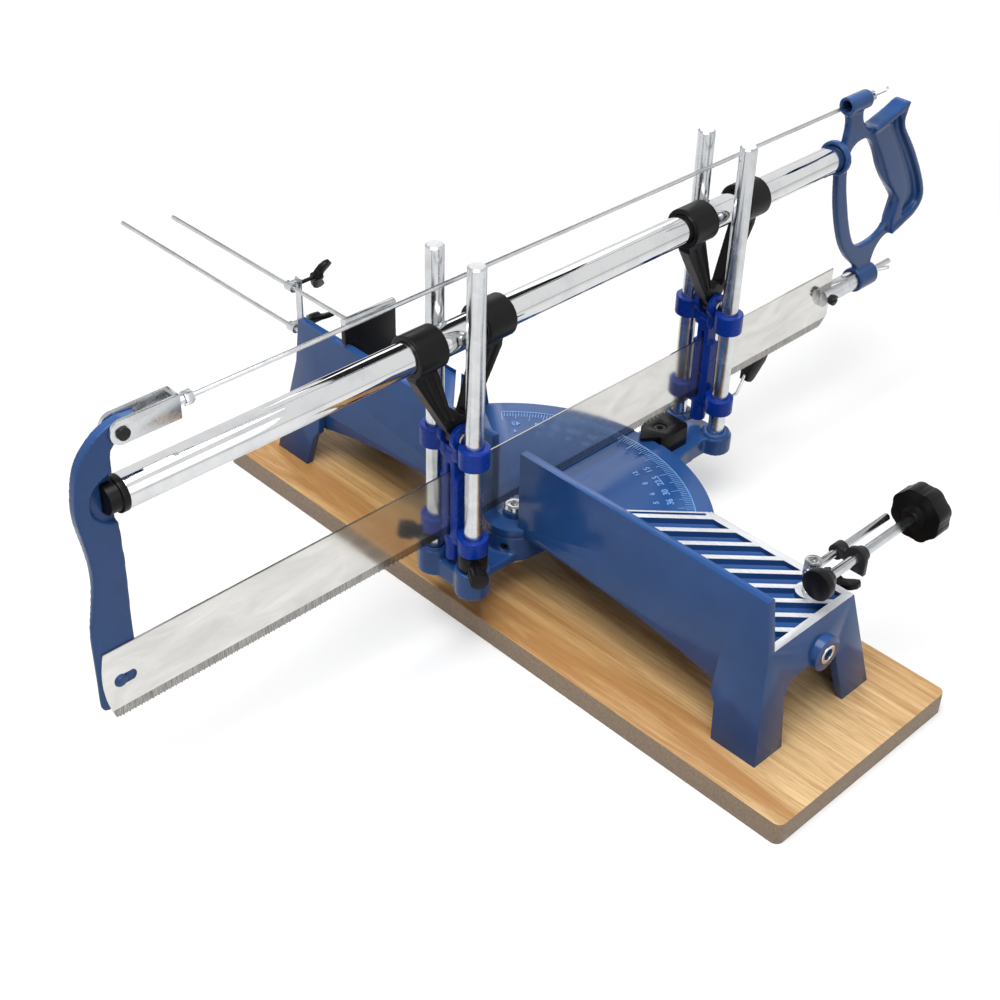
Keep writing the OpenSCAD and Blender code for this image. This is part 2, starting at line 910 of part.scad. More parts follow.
module holder_screw() {
    color(steel)
        translate([0, blade_y0 + 7, holder_z])
            difference() {
                union() {
                    rod_x(2.5, -7.5, 6.5);
                    rod_x(3.9, -10, -7.1);
                }
                translate([-11, -6, -0.6])
                    cube([2, 12, 1.2]);
            }
}

module tension_rod() {
    color(steel)
        translate([0, 0, rod_z])
            rod_y(rod_r, -343, 234.9);
}

// Fork between the bow's tip and the tension rod; its two cheeks are open above and below
module tension_clevis() {
    cheek_x = 5.3;
    cheek_low = rod_z - 6.2;
    cheek_h = 13.2;
    color(steel)
        difference() {
            union() {
                translate([-cheek_x, 232, cheek_low])
                    cube([2 * cheek_x, clevis_y - 232, cheek_h]);
                translate([0, clevis_y, cheek_low + cheek_h / 2])
                    rod_x(cheek_h / 2, -cheek_x, cheek_x);
            }
            translate([-bow_half - 0.3, 235, cheek_low - 1])
                cube([2 * bow_half + 0.6, 40, cheek_h + 2]);
            translate([0, 0, rod_z])
                rod_y(rod_r, 220, 240);
            translate([0, clevis_y, rod_z])
                rod_x(2.5, -20, 20);
        }
}

module clevis_pin() {
    color(steel)
        translate([0, clevis_y, rod_z]) {
            rod_x(2.5, -5.4, 7);
            rod_x(3.4, -7, -5.3);
        }
}

module lock_nut() {
    color(steel)
        difference() {
            translate([0, 0, rod_z]) {
                rotate([90, 0, 0])
                    translate([0, 0, -227.5])
                        cylinder(r = 3.8, h = 5, $fn = 6);
                rod_y(2.4, 227.4, 232);
            }
            translate([0, 0, rod_z])
                rod_y(rod_r, 220, 240);
        }
}

nut_wing = [[2, -1.2], [5.5, -2], [10.5, -7.5], [11.3, -10], [9.8, -11.8], [7.2, -10.8],
    [2, -5.6]];

// Pressed wing nut on the Y axis, its flange at y = 0 and its wings towards -Y
module wing_nut(bore_r) {
    wing_t = 1.6;
    difference() {
        union() {
            rod_y(4.2, -2.5, 0);
            rod_y(3.2, -6.5, -2.4);
            both_ends()
                translate([0, 0, -wing_t / 2])
                    linear_extrude(wing_t)
                        polygon(nut_wing);
        }
        rod_y(bore_r + run, -20, 5);
    }
}

module tension_wing_nut() {
    color(steel)
        translate([0, -322.8, rod_z])
            rotate([0, 40, 0])
                wing_nut(rod_r);
}

module blade_wing_nut() {
    color(steel)
        translate([0, -361.3, holder_z])
            rotate([0, 20, 0])
                wing_nut(2);
}

module guide_rod() {
    color(steel)
        translate([0, stop_y, guide_z])
            rod_x(stop_rod_r, end_x - 20, end_x + stop_reach - 2);
}

module stop_bracket() {
    strap_y = stop_y - 7;
    color(steel)
        difference() {
            union() {
                for (z = [guide_z, stop_z])
                    translate([0, stop_y, z]) {
                        rod_x(bush_r, bush_x[0], bush_x[1]);
                        translate([screw_x - 2.6, -6, -2.6])
                            cube([5.2, 4, 5.2]);
                    }
                translate([screw_x - 3, strap_y, guide_z - 4])
                    cube([6, 1.2, stop_z - guide_z + 8]);
            }
            for (z = [guide_z, stop_z])
                translate([0, stop_y, z]) {
                    rod_x(stop_rod_r + run, bush_x[0] - 5, bush_x[1] + 5);
                    translate([screw_x, 0, 0])
                        rod_y(stop_screw_r + run, -10, 0);
                }
        }
}

module stop_rod() {
    color(steel) {
        translate([0, stop_y, stop_z])
            rod_x(stop_rod_r, 152, 343);
        translate([152, 0, stop_arm_z])
            rod_y(stop_arm_r, -35, 8);
    }
}

// Plate that the work's end meets; it hangs in front of the fence and is notched over it
module stop_plate() {
    color(black)
        difference() {
            translate([150, 0, 0])
                rotate([90, 0, 90])
                    linear_extrude(4)
                        polygon([[-35, table_z + 4], [1.5, table_z + 4], [1.5, fence_top + 1.5],
                            [8, fence_top + 1.5], [8, stop_arm_z], [-35, stop_arm_z]]);
            translate([152, 0, stop_arm_z])
                rod_y(stop_arm_r, -40, 10);
        }
}

screw_wing = [[0, -3], [2.6, 0], [6, -0.6], [10.5, -2.8], [12.8, -6.4], [12.6, -10], [10.4, -12],
    [7.4, -10.4], [4, -8], [0, -7]];

// Wing screw along Y, its tip at y = 0 and its wings towards -Y
module wing_screw(r, reach) {
    wing_t = 3;
    rod_y(r, -reach - 3, 0);
    rod_y(3.4, -reach - 6.5, -reach);
    both_ends()
        translate([0, -reach, -wing_t / 2])
            linear_extrude(wing_t)
                polygon(screw_wing);
}

module upper_wing_screw() {
    color(black)
        translate([screw_x, stop_y - stop_rod_r - 0.2, stop_z])
            rotate([0, 65, 0])
                wing_screw(stop_screw_r, 17);
}

module lower_wing_screw() {
    color(black)
        translate([screw_x, stop_y - stop_rod_r - 0.2, guide_z])
            rotate([0, 25, 0])
                wing_screw(stop_screw_r, 14);
}

module clamp_post() {
    head_r = 5.2;
    head_low = 94;
    head_top = 105.5;
    color(steel)
        difference() {
            translate([clamp_x, clamp_y, 0]) {
                translate([0, 0, 52])
                    cylinder(r = clamp_post_r, h = head_low - 51.5);
                translate([0, 0, head_low])
                    cylinder(r = head_r, h = head_top - head_low);
            }
            translate([clamp_x, 0, arm_rod_z])
                rod_y(arm_rod_r + run, clamp_y - 10, clamp_y + 10);
            // socket of the screw that holds the rod
            translate([clamp_x, clamp_y, head_top - 1.5])
                cylinder(r = 2.4, h = 3, $fn = 6);
        }
}

// Rod that slides through the post's head and carries the bracket
module clamp_rod() {
    color(steel)
        translate([clamp_x, 0, arm_rod_z])
            rod_y(arm_rod_r, -124, -46.5);
}

module clamp_bracket() {
    y0 = -77;
    t = 3;
    color(black)
        difference() {
            union() {
                translate([clamp_x, 0, arm_rod_z])
                    rod_y(4.8, y0 - 4, y0 + t);
                translate([spindle_x, 0, spindle_z])
                    rod_y(7, y0, y0 + t);
                translate([spindle_x, y0, arm_rod_z - 2])
                    cube([clamp_x - spindle_x, t, 6]);
                translate([spindle_x - 7, y0, spindle_z - 9])
                    cube([9, t, 9]);
                translate([spindle_x, 0, spindle_z])
                    rod_y(4.8, y0 - 5, y0);
            }
            translate([clamp_x, 0, arm_rod_z])
                rod_y(arm_rod_r, y0 - 20, y0 + 20);
            translate([spindle_x, 0, spindle_z])
                rod_y(spindle_r + run, y0 - 20, y0 + 20);
        }
}

module clamp_pad() {
    color(black)
        difference() {
            translate([spindle_x, 0, spindle_z]) {
                rod_y(pad_d / 2, -43, -38);
                translate([0, -43 + eps, 0])
                    rotate([90, 0, 0])
                        cylinder(r1 = pad_d / 2, r2 = 5.2, h = 7);
            }
            translate([spindle_x, 0, spindle_z])
                rod_y(spindle_r + run, -60, -43.5);
        }
}

module clamp_spindle() {
    color(steel)
        translate([spindle_x, 0, spindle_z])
            rod_y(spindle_r, -136, -43.9);
}

module clamp_knob() {
    lobes = 8;
    lobe_r = 7;
    r = knob_d / 2;
    color(black)
        difference() {
            translate([spindle_x, 0, spindle_z]) {
                rod_y(r - 1, -145, -133);
                for (k = [0 : lobes - 1])
                    rotate([0, (k + 0.5) * 360 / lobes, 0])
                        translate([r - lobe_r, 0, 0])
                            rod_y(lobe_r, -145, -133);
                rod_y(7, -133.1, -129.5);
            }
            translate([spindle_x, 0, spindle_z])
                rod_y(spindle_r, -136, -120);
        }
}

module clamp_wing_screw() {
    color(black)
        translate([clamp_x, clamp_y - clamp_post_r - 0.2, table_z - 9])
            rotate([0, 8, 0])
                wing_screw(2, 20);
}

base_board();
board_screws();
table_casting();
pivot_bolt();
pivot_nut();
swing_arm();
index_block();
index_screw();
posts();
hub_screw();
stop_ring();
stop_thumbscrew();
carriage_back();
fork_back();
fork_pin_back();
carriage_front();
fork_front();
fork_pin_front();
index_lever();
lever_tab();
back_tube();
tube_end_cap();
end_bow();
blade();
blade_pin();
handle();
blade_holder();
holder_screw();
tension_rod();
tension_clevis();
clevis_pin();
lock_nut();
tension_wing_nut();
blade_wing_nut();
guide_rod();
stop_bracket();
stop_rod();
stop_plate();
upper_wing_screw();
lower_wing_screw();
clamp_post();
clamp_rod();
clamp_bracket();
clamp_pad();
clamp_spindle();
clamp_knob();
clamp_wing_screw();
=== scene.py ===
"""A manual mitre saw on its board: finishes, fine detail, floor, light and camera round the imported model."""

import math

import bmesh
import bpy
from mathutils import Matrix, Vector


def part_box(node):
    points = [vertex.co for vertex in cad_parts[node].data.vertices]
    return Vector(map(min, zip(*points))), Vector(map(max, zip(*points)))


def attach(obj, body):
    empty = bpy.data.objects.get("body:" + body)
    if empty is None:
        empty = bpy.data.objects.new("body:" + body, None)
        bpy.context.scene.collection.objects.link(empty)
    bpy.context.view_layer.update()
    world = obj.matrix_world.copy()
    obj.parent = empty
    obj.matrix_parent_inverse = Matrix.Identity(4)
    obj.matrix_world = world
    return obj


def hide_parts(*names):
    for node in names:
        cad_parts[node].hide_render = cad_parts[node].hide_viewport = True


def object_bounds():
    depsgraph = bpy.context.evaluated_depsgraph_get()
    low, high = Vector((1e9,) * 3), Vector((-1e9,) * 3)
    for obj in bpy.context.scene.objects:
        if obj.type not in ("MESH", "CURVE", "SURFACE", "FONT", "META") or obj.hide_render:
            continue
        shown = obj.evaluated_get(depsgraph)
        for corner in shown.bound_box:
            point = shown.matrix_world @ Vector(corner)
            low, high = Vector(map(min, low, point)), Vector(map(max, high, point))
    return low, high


bl_info = {
    "name": "Mitre Saw Dressing",
    "version": (1, 0, 0),
    "blender": (4, 5, 0),
    "location": "3D View > Sidebar > Mitre Saw",
    "description": "Dresses the manual mitre saw and sets its floor, lamps and camera",
    "category": "Object",
}

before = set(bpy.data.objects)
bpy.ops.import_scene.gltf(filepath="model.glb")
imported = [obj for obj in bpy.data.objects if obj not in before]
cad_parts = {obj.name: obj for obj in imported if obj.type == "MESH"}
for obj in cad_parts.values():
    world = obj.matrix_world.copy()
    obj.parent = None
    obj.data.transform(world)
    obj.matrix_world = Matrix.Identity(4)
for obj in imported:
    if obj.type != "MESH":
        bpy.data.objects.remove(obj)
CAD_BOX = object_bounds()
MM = 0.001

# The plain blade's box at rest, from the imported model
BLADE_LOW, BLADE_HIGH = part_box("blade")
TOOTH_LINE = BLADE_LOW.z

# Levels of the table casting, and the fence's front face in Y
TABLE_TOP = 84 * MM
PLATE_TOP = 63.5 * MM
FENCE_FACE = 3 * MM

# The sockets in the table's ends: their middle in Y and Z, and how far out in X they open
SOCKET = Vector((-40 * MM, 61 * MM))
SOCKET_FACE = 211 * MM

# Edges that meet at more than this angle stay crisp
CRISP = math.radians(32)

# Strength of the floor's own light near the saw, which only the camera and mirrors see
FLOOR_GLOW = 0.36


# Node trees

class Finish:
    """A material laid out as a short list of nodes, with its shader at the end."""

    def __init__(self, name, **shader):
        self.material = bpy.data.materials.new(name)
        self.material.use_nodes = True
        self.tree = self.material.node_tree
        self.tree.nodes.clear()
        self.output = self.tree.nodes.new("ShaderNodeOutputMaterial")
        self.shader = self.add("ShaderNodeBsdfPrincipled", **shader)
        self.join(self.shader.outputs["BSDF"], self.output.inputs["Surface"])
        self.place = self.add("ShaderNodeTexCoord").outputs["Object"]
        self.facing = self.tree.nodes[-1].outputs["Normal"]

    def add(self, kind, settings=None, **inputs):
        """A new node; settings are its own properties and inputs its sockets, values or links."""
        node = self.tree.nodes.new(kind)
        for key, value in (settings or {}).items():
            setattr(node, key, value)
        for key, value in inputs.items():
            socket = self.socket(node, key)
            if isinstance(value, bpy.types.NodeSocket):
                self.join(value, socket)
            elif isinstance(value, tuple) and len(value) == 3 and socket.type == "RGBA":
                socket.default_value = (*value, 1.0)
            else:
                socket.default_value = value
        return node

    @staticmethod
    def socket(node, key):
        """An input by its name in words, or by its place in the list as in input_0."""
        if key.startswith("input_"):
            return node.inputs[int(key[6:])]
        words = key.replace("_", " ").lower()
        return next(s for s in node.inputs if s.name.lower() == words and s.enabled)

    def join(self, source, target):
        self.tree.links.new(source, target)

    def set(self, **inputs):
        """Sockets of the shader."""
        for key, value in inputs.items():
            socket = self.socket(self.shader, key)
            if isinstance(value, bpy.types.NodeSocket):
                self.join(value, socket)
            else:
                socket.default_value = (*value, 1.0) if socket.type == "RGBA" else value

    def stretched(self, x, y, z):
        """The place in the object, scaled along each axis, to draw grain and brush marks."""
        return self.add("ShaderNodeMapping", Vector=self.place, Scale=(x, y, z)).outputs["Vector"]

    def noise(self, scale, detail=3.0, roughness=0.55, vector=None, distortion=0.0):
        node = self.add("ShaderNodeTexNoise", Vector=vector or self.place, Scale=scale, Detail=detail,
                        Roughness=roughness, Distortion=distortion)
        return node.outputs["Fac"]

    def spread(self, value, low, high, to_low=0.0, to_high=1.0):
        """Maps low to high onto to_low to to_high, and holds it there."""
        node = self.add("ShaderNodeMapRange", Value=value)
        for key, number in zip(("From Min", "From Max", "To Min", "To Max"), (low, high, to_low, to_high)):
            node.inputs[key].default_value = number
        return node.outputs["Result"]

    def math(self, operation, first, second=0.0):
        return self.add("ShaderNodeMath", {"operation": operation}, input_0=first,
                        input_1=second).outputs["Value"]

    def blend(self, factor, first, second):
        """One colour over another."""
        node = self.add("ShaderNodeMix", {"data_type": "RGBA"})
        self.join(factor, node.inputs["Factor"])
        for socket, value in ((node.inputs[6], first), (node.inputs[7], second)):
            if isinstance(value, bpy.types.NodeSocket):
                self.join(value, socket)
            else:
                socket.default_value = (*value, 1.0)
        return node.outputs[2]

    def axes(self, vector=None):
        node = self.add("ShaderNodeSeparateXYZ", Vector=vector or self.place)
        return node.outputs["X"], node.outputs["Y"], node.outputs["Z"]

    def bump(self, height, strength, distance, over=None):
        """Relief from a height; over is the relief below it."""
        node = self.add("ShaderNodeBump", Height=height, Strength=strength, Distance=distance)
        if over:
            self.join(over, node.inputs["Normal"])
        return node.outputs["Normal"]

    def relief(self, normal):
        self.join(normal, self.shader.inputs["Normal"])


def tint(colour, factor):
    return tuple(c * factor for c in colour)


def enamel(name, colour, peel=1.0, worn=False):
    """Glossy stove enamel with painted light that makes level faces paler; worn adds the bare ground tops of
    the table's ribs.
    """
    f = Finish(name, Coat_Weight=0.08, Coat_Roughness=0.08, Specular_IOR_Level=0.23)
    cloud = f.spread(f.noise(22, 4), 0.3, 0.7)
    paint = f.blend(cloud, tint(colour, 0.86), tint(colour, 1.12))
    specks = f.spread(f.noise(900, 2), 0.66, 0.74)
    paint = f.blend(f.math("MULTIPLY", specks, 0.25), paint, tint(colour, 2.2))
    rough = f.spread(f.noise(60, 4), 0.3, 0.7, 0.13, 0.25)
    # Painted light: faces that look up are blended towards a paler blue, as if lit from above.
    level = f.spread(f.axes(f.facing)[2], 0.7, 0.95, 0.0, 0.28)
    paint = f.blend(level, paint, tint(colour, 2.6))
    relief = f.bump(f.noise(140, 2), 0.07 * peel, 0.6 * MM)
    relief = f.bump(f.noise(620, 2), 0.07 * peel, 0.2 * MM, relief)
    if worn:
        x, y, z = f.axes()
        up = f.axes(f.facing)[2]
        top = f.math("GREATER_THAN", z, TABLE_TOP - 0.25 * MM)
        front = f.math("LESS_THAN", y, FENCE_FACE - 0.2 * MM)
        level = f.math("GREATER_THAN", up, 0.6)
        low = f.math("LESS_THAN", z, TABLE_TOP + 1 * MM)
        ground = f.math("MULTIPLY", f.math("MULTIPLY", top, front), f.math("MULTIPLY", level, low))
        chips = f.spread(f.noise(260, 4, 0.7), 0.27, 0.31)
        ground = f.math("MULTIPLY", ground, chips)
        strokes = f.noise(1.0, 3, 0.6, f.stretched(70, 1400, 70))
        bare = f.blend(f.spread(strokes, 0.3, 0.7), (0.72, 0.74, 0.78), (0.93, 0.94, 0.96))
        paint = f.blend(ground, paint, bare)
        rough = f.math("ADD", rough, f.math("MULTIPLY", ground, 0.22))
        f.set(Metallic=f.math("MULTIPLY", ground, 0.55))
    f.set(Base_Color=paint, Roughness=rough)
    f.relief(relief)
    return f.material


def moulded(name, colour, shine, grain):
    """Moulded plastic: shine is its mean roughness and grain the strength of its fine texture."""
    f = Finish(name, Specular_IOR_Level=0.16)
    cloud = f.spread(f.noise(35, 3), 0.3, 0.7)
    scuffs = f.spread(f.noise(1.0, 4, 0.7, f.stretched(300, 300, 60)), 0.66, 0.8)
    base = f.blend(cloud, tint(colour, 0.85), tint(colour, 1.15))
    base = f.blend(f.math("MULTIPLY", scuffs, 0.12), base, tuple(c * 0.6 + 0.05 for c in colour))
    f.set(Base_Color=base, Roughness=f.spread(f.noise(90, 4), 0.25, 0.75, shine - 0.07, shine + 0.1))
    f.relief(f.bump(f.noise(1600, 3), grain, 0.15 * MM, f.bump(f.noise(80, 2), grain * 0.5, 0.5 * MM)))
    return f.material


def chrome(name):
    """Bright chromed tube with faint drawing marks along it."""
    f = Finish(name, Metallic=1.0)
    marks = f.noise(1.0, 3, 0.6, f.stretched(900, 9, 900))
    dust = f.spread(f.noise(45, 5, 0.65), 0.45, 0.75)
    f.set(Base_Color=f.blend(dust, (0.68, 0.685, 0.69), (0.55, 0.56, 0.58)),
          Roughness=f.spread(dust, 0.0, 1.0, 0.035, 0.11))
    f.relief(f.bump(marks, 0.035, 0.2 * MM))
    return f.material


def plated(name, colour=(0.62, 0.635, 0.65), rough=0.2, along=(1, 1, 1)):
    """Zinc-plated steel with faint clouds and long drawing marks, and painted shade that darkens faces looking
    up.
    """
    f = Finish(name, Metallic=1.0)
    cloud = f.noise(75, 5, 0.65, distortion=0.6)
    marks = f.noise(1.0, 3, 0.6, f.stretched(*(9 if a else 700 for a in along)))
    shade = f.blend(f.spread(cloud, 0.3, 0.72), tint(colour, 0.82), tint(colour, 1.12))
    shade = f.blend(f.spread(marks, 0.5, 0.75, 0.0, 0.35), shade, tint(colour, 0.6))
    # Painted shade: faces that look up are darkened.
    top = f.spread(f.axes(f.facing)[2], 0.6, 0.8, 0.0, 0.6)
    shade = f.blend(top, shade, tint(colour, 0.4))
    f.set(Base_Color=shade, Roughness=f.spread(cloud, 0.3, 0.7, rough - 0.07, rough + 0.1))
    f.relief(f.bump(marks, 0.05, 0.2 * MM, f.bump(cloud, 0.02, 0.5 * MM)))
    return f.material


def ground_steel(name, colour):
    """Satin blade steel: cloudy flats, a dark ground band over the teeth and a painted shadow along the back
    edge.
    """
    f = Finish(name, Metallic=0.92)
    _, _, z = f.axes()
    cloud = f.noise(1.0, 5, 0.62, f.stretched(40, 22, 60), 0.8)
    strokes = f.noise(1.0, 3, 0.6, f.stretched(300, 30, 2600))
    flat = f.blend(f.spread(cloud, 0.3, 0.7), tint(colour, 0.8), tint(colour, 1.06))
    flat = f.blend(f.math("MULTIPLY", f.spread(strokes, 0.35, 0.7), 0.3), flat, tint(colour, 0.7))
    stains = f.spread(f.noise(160, 5, 0.75), 0.68, 0.76)
    flat = f.blend(f.math("MULTIPLY", stains, 0.35), flat, (0.3, 0.24, 0.17))
    teeth = f.noise(1.0, 2, 0.6, f.stretched(300, 2200, 90))
    dark = f.blend(f.spread(teeth, 0.35, 0.65), (0.16, 0.15, 0.14), (0.42, 0.41, 0.39))
    band = f.spread(z, TOOTH_LINE + 6.6 * MM, TOOTH_LINE + 6.2 * MM)
    # Painted shadow: a dark line along the blade's back edge.
    back = f.spread(z, BLADE_HIGH.z - 0.7 * MM, BLADE_HIGH.z - 0.5 * MM, 0.0, 0.7)
    shade = f.blend(band, flat, dark)
    shade = f.blend(back, shade, (0.2, 0.19, 0.18))
    f.set(Base_Color=shade, Roughness=f.spread(cloud, 0.3, 0.7, 0.07, 0.14))
    f.relief(f.bump(strokes, 0.05, 0.1 * MM, f.bump(teeth, f.math("MULTIPLY", band, 0.2), 0.1 * MM)))
    return f.material


def veneered_board(name):
    """Oak-grained top with painted light that makes one end paler, over a plain brown core that shows at the
    edges.
    """
    f = Finish(name, IOR=1.45)
    up = f.axes(f.facing)[2]
    grain = f.noise(1.0, 6, 0.62, f.stretched(3.2, 46, 46), 1.6)
    fine = f.noise(1.0, 4, 0.7, f.stretched(18, 520, 520))
    pores = f.spread(f.noise(1.0, 2, 0.5, f.stretched(70, 1500, 1500)), 0.6, 0.7)
    wide = f.noise(1.0, 3, 0.5, f.stretched(1.4, 13, 13), 0.8)
    pale = f.blend(f.spread(wide, 0.35, 0.65), (0.58, 0.32, 0.1), (0.84, 0.57, 0.27))
    x = f.axes()[0]
    # Painted light: the top grows paler towards one end of the board.
    pale = f.blend(f.spread(x, 0.05, CAD_BOX[0].x, 0.0, 0.4), pale, (0.97, 0.76, 0.46))
    streaks = f.blend(f.spread(grain, 0.42, 0.62, 0.0, 0.85), pale, (0.42, 0.19, 0.05))
    streaks = f.blend(f.math("MULTIPLY", f.spread(fine, 0.4, 0.7), 0.5), streaks, (0.38, 0.175, 0.05))
    top = f.blend(f.math("MULTIPLY", pores, 0.5), streaks, (0.3, 0.14, 0.05))
    crumbs = f.noise(700, 4, 0.7)
    core = f.blend(f.spread(crumbs, 0.3, 0.7), (0.2, 0.14, 0.09), (0.33, 0.24, 0.16))
    face = f.spread(f.math("ABSOLUTE", up), 0.4, 0.6)
    f.set(Base_Color=f.blend(face, core, top), Roughness=f.spread(fine, 0.3, 0.7, 0.42, 0.58))
    f.relief(f.bump(crumbs, 0.12, 0.3 * MM, f.bump(pores, -0.12, 0.15 * MM)))
    return f.material


# Mesh helpers

def smooth_tree():
    """Geometry nodes that shade faces smooth and keep edges over the crisp angle sharp."""
    tree = bpy.data.node_groups.get("shade_by_angle")
    if tree:
        return tree
    tree = bpy.data.node_groups.new("shade_by_angle", "GeometryNodeTree")
    tree.interface.new_socket("Geometry", in_out="INPUT", socket_type="NodeSocketGeometry")
    tree.interface.new_socket("Geometry", in_out="OUTPUT", socket_type="NodeSocketGeometry")
    start = tree.nodes.new("NodeGroupInput")
    end = tree.nodes.new("NodeGroupOutput")
    faces = tree.nodes.new("GeometryNodeSetShadeSmooth")
    edges = tree.nodes.new("GeometryNodeSetShadeSmooth")
    edges.domain = "EDGE"
    edges.inputs["Shade Smooth"].default_value = False
    angle = tree.nodes.new("GeometryNodeInputMeshEdgeAngle")
    limit = tree.nodes.new("FunctionNodeCompare")
    limit.operation = "GREATER_THAN"
    limit.inputs["B"].default_value = CRISP
    tree.links.new(angle.outputs["Unsigned Angle"], limit.inputs["A"])
    tree.links.new(limit.outputs["Result"], edges.inputs["Selection"])
    tree.links.new(start.outputs[0], faces.inputs["Geometry"])
    tree.links.new(faces.outputs["Geometry"], edges.inputs["Geometry"])
    tree.links.new(edges.outputs["Geometry"], end.inputs[0])
    return tree


def shade(obj):
    obj.modifiers.new("shade", "NODES").node_group = smooth_tree()


def bare_node(node, material):
    """A CAD node with its finish as its only material, and without its stored normals."""
    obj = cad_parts[node]
    obj.data.materials.clear()
    obj.data.materials.append(material)
    if "custom_normal" in obj.data.attributes:
        obj.data.attributes.remove(obj.data.attributes["custom_normal"])
    return obj


def dress(node, material, edge=0.0, segments=2):
    """Gives a CAD node its finish, and breaks its sharp edges by the width edge."""
    obj = bare_node(node, material)
    weld = obj.modifiers.new("weld", "WELD")
    weld.merge_threshold = 0.002 * MM
    if edge:
        flat = obj.modifiers.new("flat", "DECIMATE")
        flat.decimate_type = "DISSOLVE"
        flat.angle_limit = math.radians(0.5)
        bevel = obj.modifiers.new("edge", "BEVEL")
        bevel.width = edge
        bevel.segments = segments
        bevel.limit_method = "ANGLE"
        bevel.angle_limit = CRISP
        bevel.miter_outer = "MITER_ARC"
    shade(obj)


def cast(node, material, voxel, rounds, share):
    """Gives a CAD node its finish, and melts its edges and corners as a casting's or moulding's are."""
    obj = bare_node(node, material)
    remesh = obj.modifiers.new("melt", "REMESH")
    remesh.mode = "VOXEL"
    remesh.voxel_size = voxel
    remesh.use_smooth_shade = True
    soften = obj.modifiers.new("soften", "SMOOTH")
    soften.factor = 0.5
    soften.iterations = rounds
    thin = obj.modifiers.new("thin", "DECIMATE")
    thin.ratio = share


def piece(name, mesh, body, material, replaces=()):
    """A new piece of the saw, at its place in the frame, riding on a body."""
    obj = bpy.data.objects.new(name, mesh)
    bpy.context.scene.collection.objects.link(obj)
    mesh.materials.clear()
    mesh.materials.append(material)
    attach(obj, body)
    if replaces:
        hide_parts(*replaces)
    return obj


def plate_mesh(name, outlines, thick, edge=0.0):
    """A flat plate from closed outlines, holes among them, drawn in X and Y and thick along Z."""
    curve = bpy.data.curves.new(name, "CURVE")
    curve.dimensions = "2D"
    curve.fill_mode = "BOTH"
    curve.extrude = thick / 2 - edge
    curve.bevel_depth = edge
    curve.bevel_resolution = 1
    curve.offset = -edge
    for outline in outlines:
        spline = curve.splines.new("POLY")
        spline.points.add(len(outline) - 1)
        for point, (x, y) in zip(spline.points, outline):
            point.co = (x, y, 0, 1)
        spline.use_cyclic_u = True
    obj = bpy.data.objects.new(name, curve)
    mesh = bpy.data.meshes.new_from_object(obj)
    bpy.data.objects.remove(obj)
    mesh.name = name
    work = bmesh.new()
    work.from_mesh(mesh)
    bmesh.ops.remove_doubles(work, verts=work.verts, dist=0.001 * MM)
    bmesh.ops.recalc_face_normals(work, faces=work.faces)
    work.to_mesh(mesh)
    work.free()
    return mesh


def sheet_mesh(name, wide, long):
    """A single level face about its own middle."""
    x, y = wide / 2, long / 2
    mesh = bpy.data.meshes.new(name)
    mesh.from_pydata([(-x, -y, 0), (x, -y, 0), (x, y, 0), (-x, y, 0)], [], [(0, 1, 2, 3)])
    return mesh


# Stands a plate up: its X and Y become the saw's Y and Z, and its thickness lies along X
SIDEWAYS = Matrix(((0, 0, 1, 0), (1, 0, 0, 0), (0, 1, 0, 0), (0, 0, 0, 1)))


def ring(centre, radius, count=24):
    """The points of a circle."""
    return [(centre[0] + radius * math.cos(2 * math.pi * k / count),
             centre[1] + radius * math.sin(2 * math.pi * k / count)) for k in range(count)]


# Settings

class SawFinishSettings(bpy.types.PropertyGroup):
    """Colours of the saw, as linear light."""

    casting: bpy.props.FloatVectorProperty(
        name="Casting blue", description="Enamel of the table, arm, bow and handle",
        default=(0.018, 0.063, 0.2), size=3, subtype="COLOR", min=0, max=1)
    carriage: bpy.props.FloatVectorProperty(
        name="Carriage blue", description="Plastic of the two carriages",
        default=(0.004, 0.036, 0.3), size=3, subtype="COLOR", min=0, max=1)
    black: bpy.props.FloatVectorProperty(
        name="Black plastic", description="Forks, cap, knob and stop plate",
        default=(0.006, 0.0055, 0.0055), size=3, subtype="COLOR", min=0, max=1)
    blade: bpy.props.FloatVectorProperty(
        name="Blade steel", description="Flats of the saw blade",
        default=(0.74, 0.73, 0.7), size=3, subtype="COLOR", min=0, max=1)


class SawBladeSettings(bpy.types.PropertyGroup):
    """Teeth of the blade."""

    pitch: bpy.props.FloatProperty(
        name="Tooth pitch", description="Distance from tooth to tooth",
        default=1.8 * MM, min=1.0 * MM, max=4.0 * MM, unit="LENGTH", precision=4)
    depth: bpy.props.FloatProperty(
        name="Tooth depth", description="Height of a tooth",
        default=1.1 * MM, min=0.4 * MM, max=2.0 * MM, unit="LENGTH", precision=4)
    bend: bpy.props.FloatProperty(
        name="Set", description="Sideways bend of each tooth's tip",
        default=0.22 * MM, min=0.0, max=0.5 * MM, unit="LENGTH", precision=4)


class SawStageSettings(bpy.types.PropertyGroup):
    """Floor, lamps and camera."""

    camera_place: bpy.props.FloatVectorProperty(
        name="Camera place", description="Where the photograph was taken from",
        default=(-0.5739, 0.5852, 0.6781), size=3, subtype="TRANSLATION", unit="LENGTH")
    azimuth: bpy.props.FloatProperty(
        name="Azimuth", description="Camera's bearing round the saw",
        default=math.radians(224.89), unit="ROTATION")
    elevation: bpy.props.FloatProperty(
        name="Elevation", description="Camera's height above the horizon",
        default=math.radians(35.89), unit="ROTATION")
    roll: bpy.props.FloatProperty(
        name="Roll", description="Camera's turn about its own axis",
        default=math.radians(1.67), unit="ROTATION")
    lens: bpy.props.FloatProperty(
        name="Focal length", description="On a 36 mm sensor",
        default=59.57, min=20, max=200, unit="CAMERA")
    shift: bpy.props.FloatVectorProperty(
        name="Shift", description="Offset of the picture's centre",
        default=(-0.0045, -0.0158), size=2)
    floor: bpy.props.FloatVectorProperty(
        name="Floor", description="Colour of the pale floor",
        default=(0.66, 0.66, 0.66), size=3, subtype="COLOR", min=0, max=1)


# Operators

